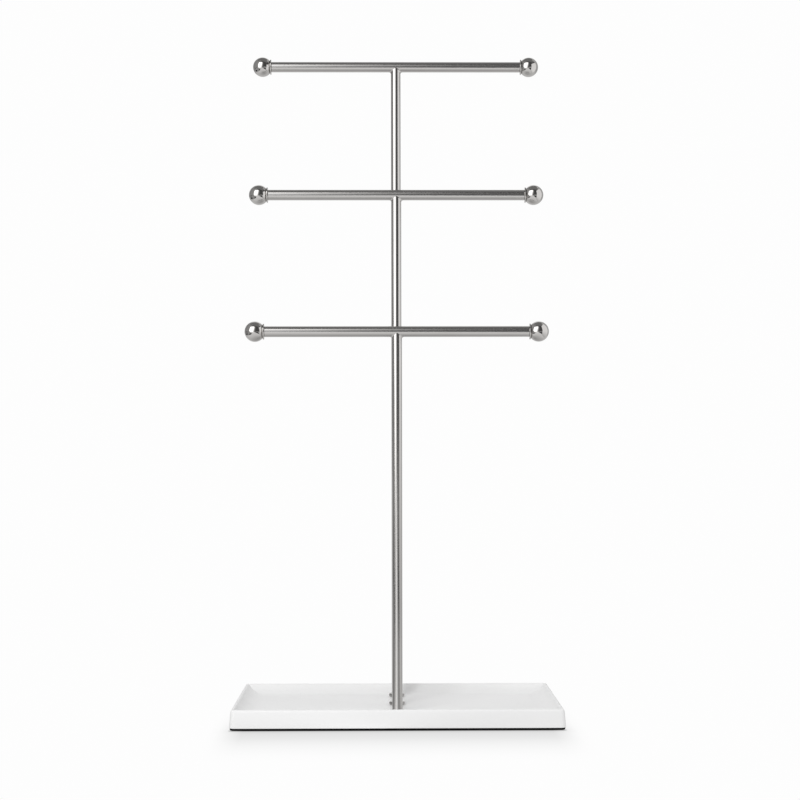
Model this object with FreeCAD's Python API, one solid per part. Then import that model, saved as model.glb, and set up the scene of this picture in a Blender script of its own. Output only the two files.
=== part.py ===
import FreeCAD, Part
import math
import os

# A tiered T-bar necklace stand: three slim poles stand one behind another in a
# shallow tray, and each carries a crossbar that ends in ball finials.
#
# Frame: +Z is up, +X runs along the crossbars, and -Y is the front, where the
# shortest pole stands. The origin is the centre of the base pad's underside.
# All sizes are in millimetres and all angles in degrees.

# ---------------------------------------------------------------- whole stand
tray_width = 230.6          # along X, at the foot of the tray
tray_depth = 127.0          # along Y, at the foot of the tray
stand_height = 483.0        # underside of the pad to the top of the highest balls
tier_step = 101.1           # from one crossbar's axis up to the next
pole_spacing = 38.1         # from one pole's axis back to the next
tier_names = ("front", "middle", "back")

# ----------------------------------------------------------------- tray shell
corner_radius = 4.0         # outer corners in plan, at the foot
side_draft = 4.8            # lean of the outer walls that frees them from the mould
wall_thickness = 2.5        # outer wall, at the foot
floor_thickness = 3.0       # flat floor and the dished sides
recess_depth = 6.5          # rim down to the flat floor
cove_radius = 16.0          # sweep of the dished sides up from the floor
floor_corner_radius = 0.5   # corners of the flat floor
rim_outer_round = 1.6
rim_flat = 0.2
rim_inner_round = 0.4
foot_round = 0.4            # lower outer edge

# ---------------------------------------------- ballast plate and non-slip pad
plate_thickness = 3.0
plate_gap = 0.3             # around the plate, inside the shell
pad_thickness = 1.3
pad_inset = 0.5             # pad edge in from the tray's foot

# -------------------------------------------------------- screws, plugs, poles
screw_diameter = 4.0
screw_length = 16.0
head_diameter = 8.0         # countersunk head, 90 degree cone
head_recess = 0.1           # head sits this far inside the ballast plate
socket_flats = 2.5          # hexagon key size
socket_depth = 1.4
screw_gap = 0.25            # round the screw in the plate and the floor
thread_gap = 0.05           # round the screw in its plug
plug_wall = 0.8
plug_length = 14.0
plug_lift = 0.2             # plug stays clear of the floor, so the pole takes the load
press_gap = 0.02            # between pressed pieces, on the radius
pole_wall = 0.7
weld_radius = 1.5           # hollow of the weld where pole and crossbar meet

# ---------------------------------------------------------------- base rings
ring_width = 2.2            # from the pole out to the ring's edge
ring_height = 2.9
ring_gap = 0.05             # between ring and pole, on the radius

# -------------------------------------------------------- crossbars and ends
bar_length = 184.5
bar_oversize = 0.2          # crossbar radius over pole radius
bar_wall = 0.8
ball_diameter = 14.3
seat_angle = 44.0           # from the bar's axis to where the collar's mouth meets the ball
seat_gap = 0.03             # between the ball and the collar's dish
collar_flare = 0.35         # from the mouth to the flange, along the bar
collar_edge = 0.6           # thickness of the flange's edge
collar_back = 0.6           # from the flange back to the end of the bar
collar_lip = 0.58           # flange edge out past the mouth
collar_hollow = 0.08        # how far the flare curves in from a straight cone
collar_step = 0.35          # back of the collar out past the bar
spigot_length = 9.0         # part of the finial's pin inside the crossbar
spigot_chamfer = 0.5

# ------------------------------------------------------------ worked-out sizes
foot_z = pad_thickness
floor_z = foot_z + plate_thickness + floor_thickness
rim_z = floor_z + recess_depth
draft_inset = (rim_z - foot_z) * math.tan(math.radians(side_draft))
rim_width = rim_outer_round + rim_flat + rim_inner_round
cove_angle = math.acos(1.0 - recess_depth / cove_radius)
cove_run = cove_radius * math.sin(cove_angle)
floor_inset = draft_inset + rim_width + cove_run
recess_corner_radius = corner_radius - draft_inset - rim_width

screw_radius = screw_diameter / 2.0
head_radius = head_diameter / 2.0
head_z = foot_z + head_recess
plug_bore_radius = screw_radius + thread_gap
plug_radius = plug_bore_radius + plug_wall
pole_bore_radius = plug_radius + press_gap
pole_radius = pole_bore_radius + pole_wall

ball_radius = ball_diameter / 2.0
top_bar_z = stand_height - ball_radius
bar_radius = pole_radius + bar_oversize
bar_bore_radius = bar_radius - bar_wall
spigot_radius = bar_bore_radius - press_gap
mouth_radius = ball_radius * math.sin(math.radians(seat_angle))
mouth_to_ball = ball_radius * math.cos(math.radians(seat_angle))
flange_radius = mouth_radius + collar_lip
collar_length = collar_flare + collar_edge + collar_back
ball_offset = bar_length / 2.0 + collar_length + mouth_to_ball

CUT_MARGIN = 1.0            # how far a cutting shape runs past what it cuts
COVE_STEPS = 6              # outlines that guide the dished sides
X_AXIS = FreeCAD.Vector(1, 0, 0)
Y_AXIS = FreeCAD.Vector(0, 1, 0)
Z_AXIS = FreeCAD.Vector(0, 0, 1)
CENTRE = FreeCAD.Vector(0, 0, 0)


def tier_y(index):
    """Place of a pole, counted from the front; the row is centred on the tray."""
    return (index - (len(tier_names) - 1) / 2.0) * pole_spacing


def tier_bar_z(index):
    """Height of a crossbar's axis; the last one is the highest."""
    return top_bar_z - (len(tier_names) - 1 - index) * tier_step


# ------------------------------------------------------------- shape helpers
def rounded_rectangle(width, depth, radius, z):
    """A closed outline with four round corners, level at height z."""
    half_x = width / 2.0
    half_y = depth / 2.0
    inner_x = half_x - radius
    inner_y = half_y - radius
    bulge = radius * math.sqrt(0.5)
    sides = []
    for sign_x, sign_y in ((1, 1), (-1, 1), (-1, -1), (1, -1)):
        beside = FreeCAD.Vector(sign_x * half_x, sign_y * inner_y, z)
        across = FreeCAD.Vector(sign_x * inner_x, sign_y * half_y, z)
        middle = FreeCAD.Vector(sign_x * (inner_x + bulge), sign_y * (inner_y + bulge), z)
        if sign_x == sign_y:
            corner = (beside, middle, across)
        else:
            corner = (across, middle, beside)
        sides.append(corner)
    edges = []
    for number, corner in enumerate(sides):
        following = sides[(number + 1) % len(sides)]
        edges.append(Part.Arc(*corner).toShape())
        edges.append(Part.LineSegment(corner[2], following[0]).toShape())
    return Part.Wire(edges)


def straight_block(lower, upper):
    """A solid with straight walls between two outlines."""
    return Part.makeLoft([lower, upper], True, True)


def revolved(points, axis):
    """A turned solid: the closed profile goes once round an axis through the centre."""
    corners = [FreeCAD.Vector(*point) for point in points]
    outline = Part.makePolygon(corners + [corners[0]])
    return Part.Face(outline).revolve(CENTRE, axis, 360)


def upright_tube(outer_radius, inner_radius, bottom_z, length):
    """A round tube that stands on bottom_z."""
    foot = FreeCAD.Vector(0, 0, bottom_z)
    outside = Part.makeCylinder(outer_radius, length, foot)
    inside = Part.makeCylinder(inner_radius, length, foot)
    return outside.cut(inside)


def level_edges(shape, z, half_x, half_y):
    """Edges that lie flat at height z, within half_x and half_y of the centre."""
    found = []
    for edge in shape.Edges:
        box = edge.BoundBox
        flat = abs(box.ZMin - z) < 0.001 and abs(box.ZMax - z) < 0.001
        near_x = max(box.XMax, -box.XMin) < half_x + 0.01
        near_y = max(box.YMax, -box.YMin) < half_y + 0.01
        if flat and near_x and near_y:
            found.append(edge)
    return found


# ----------------------------------------------------------------- the tray
def dished_space(skin):
    """The recess above the floor, grown outwards by skin, up to the rim's height."""
    radius = cove_radius + skin
    end_angle = math.acos(1.0 - (recess_depth + skin) / radius)
    corner_growth = recess_corner_radius - floor_corner_radius
    outlines = []
    for step in range(COVE_STEPS + 1):
        angle = end_angle * step / COVE_STEPS
        run = radius * math.sin(angle)
        width = tray_width - 2.0 * floor_inset + 2.0 * run
        depth = tray_depth - 2.0 * floor_inset + 2.0 * run
        corner = floor_corner_radius + corner_growth * math.sin(angle) / math.sin(cove_angle)
        corner = corner + skin * math.sin(angle)
        height = floor_z - skin + radius * (1.0 - math.cos(angle))
        outlines.append(rounded_rectangle(width, depth, corner, height))
    return Part.makeLoft(outlines, True, False)


def tray_shell():
    """The moulded tray: drafted walls, a soft rim, a dished recess and an open underside."""
    foot = rounded_rectangle(tray_width, tray_depth, corner_radius, foot_z)
    rim_x = tray_width - 2.0 * draft_inset
    rim_y = tray_depth - 2.0 * draft_inset
    rim = rounded_rectangle(rim_x, rim_y, corner_radius - draft_inset, rim_z)
    shell = straight_block(foot, rim)
    shell = shell.makeFillet(rim_outer_round, level_edges(shell, rim_z, rim_x, rim_y))
    shell = shell.makeFillet(foot_round, level_edges(shell, foot_z, tray_width, tray_depth))

    shell = shell.cut(dished_space(0.0))
    recess_x = rim_x / 2.0 - rim_width
    recess_y = rim_y / 2.0 - rim_width
    recess_edges = level_edges(shell, rim_z, recess_x, recess_y)
    shell = shell.makeFillet(rim_inner_round, recess_edges)

    inner_x = tray_width - 2.0 * wall_thickness
    inner_y = tray_depth - 2.0 * wall_thickness
    inner_corner = corner_radius - wall_thickness
    low = rounded_rectangle(inner_x, inner_y, inner_corner, foot_z - CUT_MARGIN)
    high = rounded_rectangle(inner_x, inner_y, inner_corner, rim_z)
    underside = straight_block(low, high).cut(dished_space(floor_thickness))
    shell = shell.cut(underside)
    return cut_screw_holes(shell)


def ballast_plate():
    """A steel plate that fills the shell's foot and weighs the stand down."""
    inset = wall_thickness + plate_gap
    width = tray_width - 2.0 * inset
    depth = tray_depth - 2.0 * inset
    corner = corner_radius - inset
    low = rounded_rectangle(width, depth, corner, foot_z)
    high = rounded_rectangle(width, depth, corner, foot_z + plate_thickness)
    return cut_screw_holes(straight_block(low, high))


def base_pad():
    """The non-slip sheet under the whole base, a little smaller than the tray's foot."""
    width = tray_width - 2.0 * pad_inset
    depth = tray_depth - 2.0 * pad_inset
    corner = corner_radius - pad_inset
    low = rounded_rectangle(width, depth, corner, 0.0)
    high = rounded_rectangle(width, depth, corner, pad_thickness)
    return straight_block(low, high)


# -------------------------------------------------------- screws and plugs
def screw_outline(gap, start_z):
    """A countersunk screw standing on its head, grown by gap and started at start_z."""
    cone_height = head_radius - screw_radius
    points = [
        (0, 0, start_z),
        (head_radius + gap, 0, start_z),
        (head_radius + gap, 0, head_z),
        (screw_radius + gap, 0, head_z + cone_height),
        (screw_radius + gap, 0, head_z + screw_length),
        (0, 0, head_z + screw_length),
    ]
    if start_z == head_z:
        del points[2]
    return revolved(points, Z_AXIS)


def cut_screw_holes(shape):
    """Cut the clearance hole and countersink of every pole's screw."""
    for index in range(len(tier_names)):
        space = screw_outline(screw_gap, foot_z - CUT_MARGIN)
        space.translate(FreeCAD.Vector(0, tier_y(index), 0))
        shape = shape.cut(space)
    return shape


def foot_screw():
    """Countersunk screw with a hexagon socket; its thread is left plain."""
    across_corners = socket_flats / math.cos(math.radians(30))
    corners = []
    for number in range(6):
        angle = math.radians(60 * number)
        x = across_corners / 2.0 * math.cos(angle)
        y = across_corners / 2.0 * math.sin(angle)
        corners.append(FreeCAD.Vector(x, y, head_z))
    hexagon = Part.Face(Part.makePolygon(corners + [corners[0]]))
    socket = hexagon.extrude(Z_AXIS * socket_depth)
    return screw_outline(0.0, head_z).cut(socket)


def threaded_plug():
    """The tapped bush pressed into the pole's foot; its thread is left plain."""
    return upright_tube(plug_radius, plug_bore_radius, floor_z + plug_lift, plug_length)


# ------------------------------------------------------ poles and their rings
def pole(bar_z):
    """A tube from the tray's floor to the crossbar, coped to it and welded round."""
    height = bar_z - floor_z
    post = Part.makeCylinder(pole_radius, height, FreeCAD.Vector(0, 0, floor_z))
    half_bar = 2.0 * bar_radius + weld_radius
    start = FreeCAD.Vector(-half_bar, 0, bar_z)
    bar_space = Part.makeCylinder(bar_radius, 2.0 * half_bar, start, X_AXIS)
    joined = post.fuse(bar_space).removeSplitter()
    saddle = []
    for edge in joined.Edges:
        below_axis = edge.BoundBox.ZMax < bar_z - CUT_MARGIN / 2.0
        above_foot = edge.BoundBox.ZMin > bar_z - bar_radius - CUT_MARGIN
        if below_axis and above_foot and edge.BoundBox.XLength < 2.0 * pole_radius + CUT_MARGIN:
            saddle.append(edge)
    welded = joined.makeFillet(weld_radius, saddle)
    bore = Part.makeCylinder(pole_bore_radius, height, FreeCAD.Vector(0, 0, floor_z))
    return welded.cut(bar_space).cut(bore)


def base_ring():
    """The round-edged ring that dresses the pole's foot on the tray."""
    inner = pole_radius + ring_gap
    outer = pole_radius + ring_width
    half = ring_height / 2.0
    low = FreeCAD.Vector(inner, 0, floor_z)
    low_turn = FreeCAD.Vector(outer - half, 0, floor_z)
    edge = FreeCAD.Vector(outer, 0, floor_z + half)
    high_turn = FreeCAD.Vector(outer - half, 0, floor_z + ring_height)
    high = FreeCAD.Vector(inner, 0, floor_z + ring_height)
    outline = Part.Wire([
        Part.LineSegment(low, low_turn).toShape(),
        Part.Arc(low_turn, edge, high_turn).toShape(),
        Part.LineSegment(high_turn, high).toShape(),
        Part.LineSegment(high, low).toShape(),
    ])
    return Part.Face(outline).revolve(CENTRE, Z_AXIS, 360)


# ----------------------------------------------------- crossbars and finials
def crossbar():
    """A straight tube along X, centred on the pole."""
    start = FreeCAD.Vector(-bar_length / 2.0, 0, 0)
    outside = Part.makeCylinder(bar_radius, bar_length, start, X_AXIS)
    inside = Part.makeCylinder(bar_bore_radius, bar_length, start, X_AXIS)
    return outside.cut(inside)


def ball_finial():
    """The right-hand finial: a ball with a pin that presses into the crossbar."""
    ball = Part.makeSphere(ball_radius, FreeCAD.Vector(ball_offset, 0, 0))
    tip = bar_length / 2.0 - spigot_length
    pin = revolved([
        (tip, 0, 0),
        (tip, spigot_radius - spigot_chamfer, 0),
        (tip + spigot_chamfer, spigot_radius, 0),
        (ball_offset, spigot_radius, 0),
        (ball_offset, 0, 0),
    ], X_AXIS)
    return ball.fuse(pin).removeSplitter()


def end_collar():
    """The right-hand collar: it flares from the ball to a thin flange at the bar's end."""
    bar_end = bar_length / 2.0
    mouth_x = bar_end + collar_length
    bore = spigot_radius + press_gap
    back_low = FreeCAD.Vector(bar_end, bore, 0)
    back_high = FreeCAD.Vector(bar_end, bar_radius + collar_step, 0)
    edge_back = FreeCAD.Vector(bar_end + collar_back, flange_radius, 0)
    edge_front = FreeCAD.Vector(mouth_x - collar_flare, flange_radius, 0)
    mouth_high = FreeCAD.Vector(mouth_x, mouth_radius, 0)
    mouth_low = FreeCAD.Vector(mouth_x, bore, 0)
    flare_middle = (edge_front + mouth_high) / 2.0 - Y_AXIS * collar_hollow
    outline = Part.Wire([
        Part.LineSegment(back_low, back_high).toShape(),
        Part.LineSegment(back_high, edge_back).toShape(),
        Part.LineSegment(edge_back, edge_front).toShape(),
        Part.Arc(edge_front, flare_middle, mouth_high).toShape(),
        Part.LineSegment(mouth_high, mouth_low).toShape(),
        Part.LineSegment(mouth_low, back_low).toShape(),
    ])
    blank = Part.Face(outline).revolve(CENTRE, X_AXIS, 360)
    dish = Part.makeSphere(ball_radius + seat_gap, FreeCAD.Vector(ball_offset, 0, 0))
    return blank.cut(dish)


# ------------------------------------------------------------------- output
def save(shape, name, y=0.0, z=0.0, left=False):
    """Place one piece and write it; left turns a right-hand end piece round."""
    placed = shape.copy()
    if left:
        placed.rotate(CENTRE, Z_AXIS, 180)
    placed.translate(FreeCAD.Vector(0, y, z))
    if not placed.isValid() or len(placed.Solids) != 1:
        raise ValueError(name + " is not one sound solid")
    placed.Solids[0].exportStep("parts/" + name + ".step")
    print(name, "volume", round(placed.Volume, 2))


def build():
    os.makedirs("parts", exist_ok=True)
    save(tray_shell(), "tray_shell")
    save(ballast_plate(), "ballast_plate")
    save(base_pad(), "base_pad")
    for index, tier in enumerate(tier_names):
        y = tier_y(index)
        bar_z = tier_bar_z(index)
        save(pole(bar_z), tier + "_pole", y)
        save(base_ring(), tier + "_base_ring", y)
        save(threaded_plug(), tier + "_threaded_plug", y)
        save(foot_screw(), tier + "_foot_screw", y)
        save(crossbar(), tier + "_crossbar", y, bar_z)
        for side in ("left", "right"):
            turned = side == "left"
            save(ball_finial(), tier + "_" + side + "_ball_finial", y, bar_z, turned)
            save(end_collar(), tier + "_" + side + "_end_collar", y, bar_z, turned)


build()
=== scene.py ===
# %% [markdown]
# # A tiered necklace stand on a shallow tray
# Three slim metal poles stand one behind another in a white dished tray. Each pole
# carries a straight crossbar with a polished ball at either end, so necklaces hang on
# the bars, and rings or earrings lie in the tray. The engineering model is loaded first
# and stays fixed: it says where each piece is. This lesson then makes every visible
# piece with the smooth surface and the finish that it has on the real stand, and
# lights it as a small studio would.

# %% Load the engineering model
import math

import bmesh
import bpy
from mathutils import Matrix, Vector


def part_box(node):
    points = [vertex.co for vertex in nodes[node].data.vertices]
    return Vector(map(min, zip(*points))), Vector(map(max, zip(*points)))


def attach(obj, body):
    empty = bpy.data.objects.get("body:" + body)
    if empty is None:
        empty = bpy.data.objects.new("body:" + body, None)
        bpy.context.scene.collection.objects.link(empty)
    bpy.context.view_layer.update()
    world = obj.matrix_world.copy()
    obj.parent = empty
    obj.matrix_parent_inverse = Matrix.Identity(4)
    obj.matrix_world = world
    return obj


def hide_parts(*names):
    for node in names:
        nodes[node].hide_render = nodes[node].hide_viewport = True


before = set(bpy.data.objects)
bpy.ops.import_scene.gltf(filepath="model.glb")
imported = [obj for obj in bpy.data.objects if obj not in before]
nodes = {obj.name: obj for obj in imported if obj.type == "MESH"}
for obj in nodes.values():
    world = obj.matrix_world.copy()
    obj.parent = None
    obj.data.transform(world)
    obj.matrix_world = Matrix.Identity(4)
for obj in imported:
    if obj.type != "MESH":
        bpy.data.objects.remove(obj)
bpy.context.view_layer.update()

print("pieces in the model:", len(nodes))

# %% [markdown]
# ## Measures taken from the model
# A maker notes the sizes that several pieces share before cutting anything. Most are
# read from the loaded pieces, so the looks follow the model when a size changes. The
# few that no outside measurement shows, such as a wall or a rounded edge, are written
# down as the workshop would write them, each beside the piece that needs it first.

# %% Names and shared measures
MM = 0.001
TIERS = ("front", "middle", "back")
SIDES = {"left": -1.0, "right": 1.0}
BODY = "root"
X_AXIS = Vector((1.0, 0.0, 0.0))
Z_AXIS = Vector((0.0, 0.0, 1.0))
POLE_WALL = 0.7 * MM        # the plug in the pole's foot shows how wide the bore is
PRESS_GAP = 0.02 * MM       # between pieces that are pressed together


def half_size(node):
    low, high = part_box(node)
    return (high - low) / 2.0


def middle(node):
    low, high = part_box(node)
    return (high + low) / 2.0


bore_radius = half_size("front_threaded_plug").x + PRESS_GAP
pole_radius = bore_radius + POLE_WALL
bar_radius = half_size("front_crossbar").z
bar_half = half_size("front_crossbar").x
ball_radius = half_size("front_left_ball_finial").z
floor_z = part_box("front_pole")[0].z
print("pole radius", round(pole_radius / MM, 2), "bar radius", round(bar_radius / MM, 2),
      "ball radius", round(ball_radius / MM, 2), "tray floor at", round(floor_z / MM, 2), "mm")

# %% [markdown]
# ## Shader groups
# Several finishes need the same effects: fine grain, a slow change of tone, the traces
# of handling, worn edges. Each effect is a node group with named inputs. It is built
# once and placed in a material with that material's own values. A group puts out only
# colours and values; the shader itself stays in the material, where a reader can see it.

# %% Helpers that start a group and join its nodes
FLOAT, COLOUR, VECTOR = "NodeSocketFloat", "NodeSocketColor", "NodeSocketVector"


def start_group(name, inputs, outputs):
    """A new node group: inputs are (label, kind, value), outputs are (label, kind)."""
    group = bpy.data.node_groups.new(name, "ShaderNodeTree")
    for label, kind, value in inputs:
        socket = group.interface.new_socket(name=label, in_out="INPUT", socket_type=kind)
        socket.default_value = value
    for label, kind in outputs:
        group.interface.new_socket(name=label, in_out="OUTPUT", socket_type=kind)
    entry = group.nodes.new("NodeGroupInput")
    leave = group.nodes.new("NodeGroupOutput")
    return group, entry.outputs, leave.inputs


def add_node(tree, kind, settings=(), values=(), **links):
    """Add a node, set its options and unlinked sockets, and link the others by name."""
    node = tree.nodes.new(kind)
    for option, setting in dict(settings).items():
        setattr(node, option, setting)
    for label, value in dict(values).items():
        node.inputs[label].default_value = value
    for label, source in links.items():
        tree.links.new(source, node.inputs[label.replace("_", " ")])
    return node


def combined(tree, operation, first, second):
    """Join two values; either may be a number."""
    node = add_node(tree, "ShaderNodeMath", {"operation": operation})
    for entry, value in zip(node.inputs, (first, second)):
        if isinstance(value, float):
            entry.default_value = value
        else:
            tree.links.new(value, entry)
    return node.outputs["Value"]


# %% Helpers for noise and for two colours
def surface_noise(tree, place, scale, detail, distortion=0.0):
    """A cloudy value over the piece's own surface; more detail adds finer clouds."""
    noise = add_node(tree, "ShaderNodeTexNoise", Vector=place, Scale=scale,
                     values={"Detail": detail, "Distortion": distortion})
    return noise.outputs["Fac"]


def own_place(tree):
    """Where a point of the surface lies on the piece."""
    return add_node(tree, "ShaderNodeTexCoord").outputs["Object"]


def mixed_colour(tree, factor, first, second):
    mix = add_node(tree, "ShaderNodeMix", {"data_type": "RGBA"}, Factor=factor, A=first, B=second)
    return mix.outputs["Result"]


# %% [markdown]
# ### Grain
# Grain is a noise that can be stretched along one axis: round dimples when it isn't
# stretched, and fine polishing lines when it is. It gives a value between two limits
# for the roughness, and a height for the bump.

# %% Grain group
GRAIN_DETAIL = 3.0
GRAIN_SPAN = {"From Min": 0.3, "From Max": 0.7}     # nearly all of a noise lies between


def make_grain():
    group, given, result = start_group(
        "grain",
        [("Stretch", VECTOR, (1.0, 1.0, 1.0)), ("Scale", FLOAT, 400.0),
         ("Low", FLOAT, 0.1), ("High", FLOAT, 0.2)],
        [("Value", FLOAT), ("Height", FLOAT)])
    squeeze = add_node(group, "ShaderNodeVectorMath", {"operation": "MULTIPLY"})
    group.links.new(own_place(group), squeeze.inputs[0])
    group.links.new(given["Stretch"], squeeze.inputs[1])
    noise = surface_noise(group, squeeze.outputs["Vector"], given["Scale"], GRAIN_DETAIL)
    spread = add_node(group, "ShaderNodeMapRange", values=GRAIN_SPAN,
                      Value=noise, To_Min=given["Low"], To_Max=given["High"])
    group.links.new(spread.outputs["Result"], result["Value"])
    group.links.new(noise, result["Height"])
    return group


grain = make_grain()
print("group:", grain.name, "with", len(grain.nodes), "nodes")

# %% [markdown]
# ### Tone
# Even a clean surface isn't one colour. Plating is a little warmer where it is thin,
# and a moulding is a little whiter where it cooled first. Two close colours change
# slowly over the piece.

# %% Tone group
TONE_DETAIL = 2.0


def make_tone():
    group, given, result = start_group(
        "tone",
        [("Main", COLOUR, (0.5, 0.5, 0.5, 1.0)), ("Other", COLOUR, (0.6, 0.6, 0.6, 1.0)),
         ("Scale", FLOAT, 30.0)],
        [("Color", COLOUR)])
    noise = surface_noise(group, own_place(group), given["Scale"], TONE_DETAIL)
    group.links.new(mixed_colour(group, noise, given["Main"], given["Other"]), result["Color"])
    return group


tone = make_tone()
print("group:", tone.name, "with", len(tone.nodes), "nodes")

# %% [markdown]
# ### Handling
# Fingers and cloths leave soft patches that blur a reflection a little. The group
# raises a roughness inside the patches of a large noise and leaves the rest alone.

# %% Handling group
PATCH_DETAIL = 4.0
PATCH_SMEAR = 0.6           # a wiping cloth pulls the patches out of round
PATCH_FULL = {"From Max": 0.75}     # the noise's value where a patch is full


def make_handling():
    group, given, result = start_group(
        "handling",
        [("Roughness", FLOAT, 0.2), ("Extra", FLOAT, 0.05),
         ("Scale", FLOAT, 18.0), ("Cover", FLOAT, 0.55)],
        [("Roughness", FLOAT)])
    noise = surface_noise(group, own_place(group), given["Scale"], PATCH_DETAIL, PATCH_SMEAR)
    patch = add_node(group, "ShaderNodeMapRange", values=PATCH_FULL,
                     Value=noise, From_Min=given["Cover"], To_Max=given["Extra"])
    total = combined(group, "ADD", given["Roughness"], patch.outputs["Result"])
    group.links.new(total, result["Roughness"])
    return group


handling = make_handling()
print("group:", handling.name, "with", len(handling.nodes), "nodes")

# %% [markdown]
# ### Edge wear
# Edges are rubbed first. Pointiness says how sharply the surface turns, and above a
# chosen limit the colour of the worn edge takes over.


# %% Edge group
def make_edge():
    group, given, result = start_group(
        "edge",
        [("Surface", COLOUR, (0.5, 0.5, 0.5, 1.0)), ("Worn", COLOUR, (0.7, 0.7, 0.7, 1.0)),
         ("Start", FLOAT, 0.52), ("Full", FLOAT, 0.6)],
        [("Color", COLOUR)])
    shape = add_node(group, "ShaderNodeNewGeometry")
    mask = add_node(group, "ShaderNodeMapRange", Value=shape.outputs["Pointiness"],
                    From_Min=given["Start"], From_Max=given["Full"]).outputs["Result"]
    group.links.new(mixed_colour(group, mask, given["Surface"], given["Worn"]), result["Color"])
    return group


edge = make_edge()
print("group:", edge.name, "with", len(edge.nodes), "nodes")

# %% [markdown]
# ## How a finish is put together
# Every finish on this stand is put together in the same way. A drifting tone gives the
# colour, and its edges may be worn. A grain gives the gloss, which fingers may have
# blurred, and the same grain gives the finest relief through a bump. Only the values
# differ, so one function makes them all from a few labelled lists.


# %% Helpers that start a material and place a group
def start_material(name):
    material = bpy.data.materials.new(name)
    material.use_nodes = True
    return material, material.node_tree, material.node_tree.nodes["Principled BSDF"]


def place_group(tree, group, values):
    node = tree.nodes.new("ShaderNodeGroup")
    node.node_tree = group
    for label, value in values.items():
        node.inputs[label].default_value = value
    return node


def grey(level, warmth=0.0):
    """A grey that leans to warm or, below zero, to cool."""
    return (level + warmth, level, level - warmth, 1.0)


# %% Making a finish
def make_finish(name, metallic, tones, marks, relief, wear=None, hands=None):
    """A material from the values of its groups; relief is the grain's height in metres."""
    material, tree, shader = start_material(name)
    shader.inputs["Metallic"].default_value = metallic
    colour = place_group(tree, tone, tones).outputs["Color"]
    if wear:
        worn = place_group(tree, edge, wear)
        tree.links.new(colour, worn.inputs["Surface"])
        colour = worn.outputs["Color"]
    tree.links.new(colour, shader.inputs["Base Color"])
    surface = place_group(tree, grain, marks)
    gloss = surface.outputs["Value"]
    if hands:
        touched = place_group(tree, handling, hands)
        tree.links.new(gloss, touched.inputs["Roughness"])
        gloss = touched.outputs["Roughness"]
    tree.links.new(gloss, shader.inputs["Roughness"])
    bump = add_node(tree, "ShaderNodeBump", values={"Distance": relief, "Strength": 1.0},
                    Height=surface.outputs["Height"])
    tree.links.new(bump.outputs["Normal"], shader.inputs["Normal"])
    print("finish:", name)
    return material


# %% [markdown]
# ## Nickel plate
# The tubes are drawn steel, polished on a belt that runs round them and then plated
# with nickel. The belt leaves hair lines round the tube, so a reflection is crisp
# across the tube and drawn out along it. Blender calls that anisotropy: the tangent
# runs round the piece's axis, and the rotation of a quarter turn spreads the light
# along the axis. Balls, collars and rings are turned and buffed, so they mirror the
# room in all directions alike.

# %% Nickel finishes
METAL = 1.0
NICKEL_TONES = {"Main": grey(0.505, 0.014), "Other": grey(0.545, 0.012), "Scale": 60.0}
NICKEL_WEAR = {"Worn": grey(0.66, 0.006), "Start": 0.56, "Full": 0.68}
NICKEL_HANDS = {"Extra": 0.03, "Scale": 22.0, "Cover": 0.58}
LINE_SCALE = 900.0
GLOSS_SPREAD = 0.012        # the roughness varies this much either way
# piece: (how the polishing lines are stretched, roughness, depth of the lines)
NICKEL_LINES = {
    "pole": ((0.02, 0.02, 1.0), 0.11, 0.0002 * MM),
    "bar": ((1.0, 0.02, 0.02), 0.11, 0.0002 * MM),
    "ball": ((1.0, 1.0, 1.0), 0.05, 0.0001 * MM),
    "collar": ((1.0, 0.05, 0.05), 0.08, 0.0002 * MM),
    "ring": ((0.05, 0.05, 1.0), 0.12, 0.0002 * MM),
}

nickel = {}
for piece, (stretch, roughness, depth) in NICKEL_LINES.items():
    lines = {"Stretch": stretch, "Scale": LINE_SCALE,
             "Low": roughness - GLOSS_SPREAD, "High": roughness + GLOSS_SPREAD}
    nickel[piece] = make_finish("nickel_" + piece, METAL, NICKEL_TONES, lines, depth,
                                NICKEL_WEAR, NICKEL_HANDS)

# %% Reflections drawn out along the tubes
TUBE_SPREAD = 0.9
QUARTER_TURN = 0.25


def draw_out(material, axis):
    """Spread the reflections along the tube, as hair lines round it do."""
    tree = material.node_tree
    shader = tree.nodes["Principled BSDF"]
    tangent = add_node(tree, "ShaderNodeTangent", {"direction_type": "RADIAL", "axis": axis})
    tree.links.new(tangent.outputs["Tangent"], shader.inputs["Tangent"])
    shader.inputs["Anisotropic"].default_value = TUBE_SPREAD
    shader.inputs["Anisotropic Rotation"].default_value = QUARTER_TURN
    print(material.name, "is drawn out along", axis)


draw_out(nickel["pole"], "Z")
draw_out(nickel["bar"], "X")

# %% [markdown]
# ## White tray
# The tray is a white moulding with a satin gloss. Its skin isn't quite flat: the
# moulding shrinks as it cools and leaves a very faint ripple, and the mould's fine
# spark finish softens the gloss. Rubbed edges are a touch brighter.

# %% Tray finish
NOT_METAL = 0.0
TRAY_TONES = {"Main": grey(0.845), "Other": grey(0.865, 0.001), "Scale": 14.0}
TRAY_WEAR = {"Worn": grey(0.9), "Start": 0.53, "Full": 0.62}
TRAY_SKIN = {"Scale": 700.0, "Low": 0.33, "High": 0.39}
TRAY_RIPPLE = 0.004 * MM
TRAY_HANDS = {"Extra": 0.06, "Scale": 16.0, "Cover": 0.55}
tray_white = make_finish("moulded_white", NOT_METAL, TRAY_TONES, TRAY_SKIN, TRAY_RIPPLE,
                         TRAY_WEAR, TRAY_HANDS)

# %% [markdown]
# ## Black non-slip sheet
# The sheet is closed-cell foam rubber. Its cut edge shows the open cells as tiny pits,
# and it reflects almost nothing.

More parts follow.
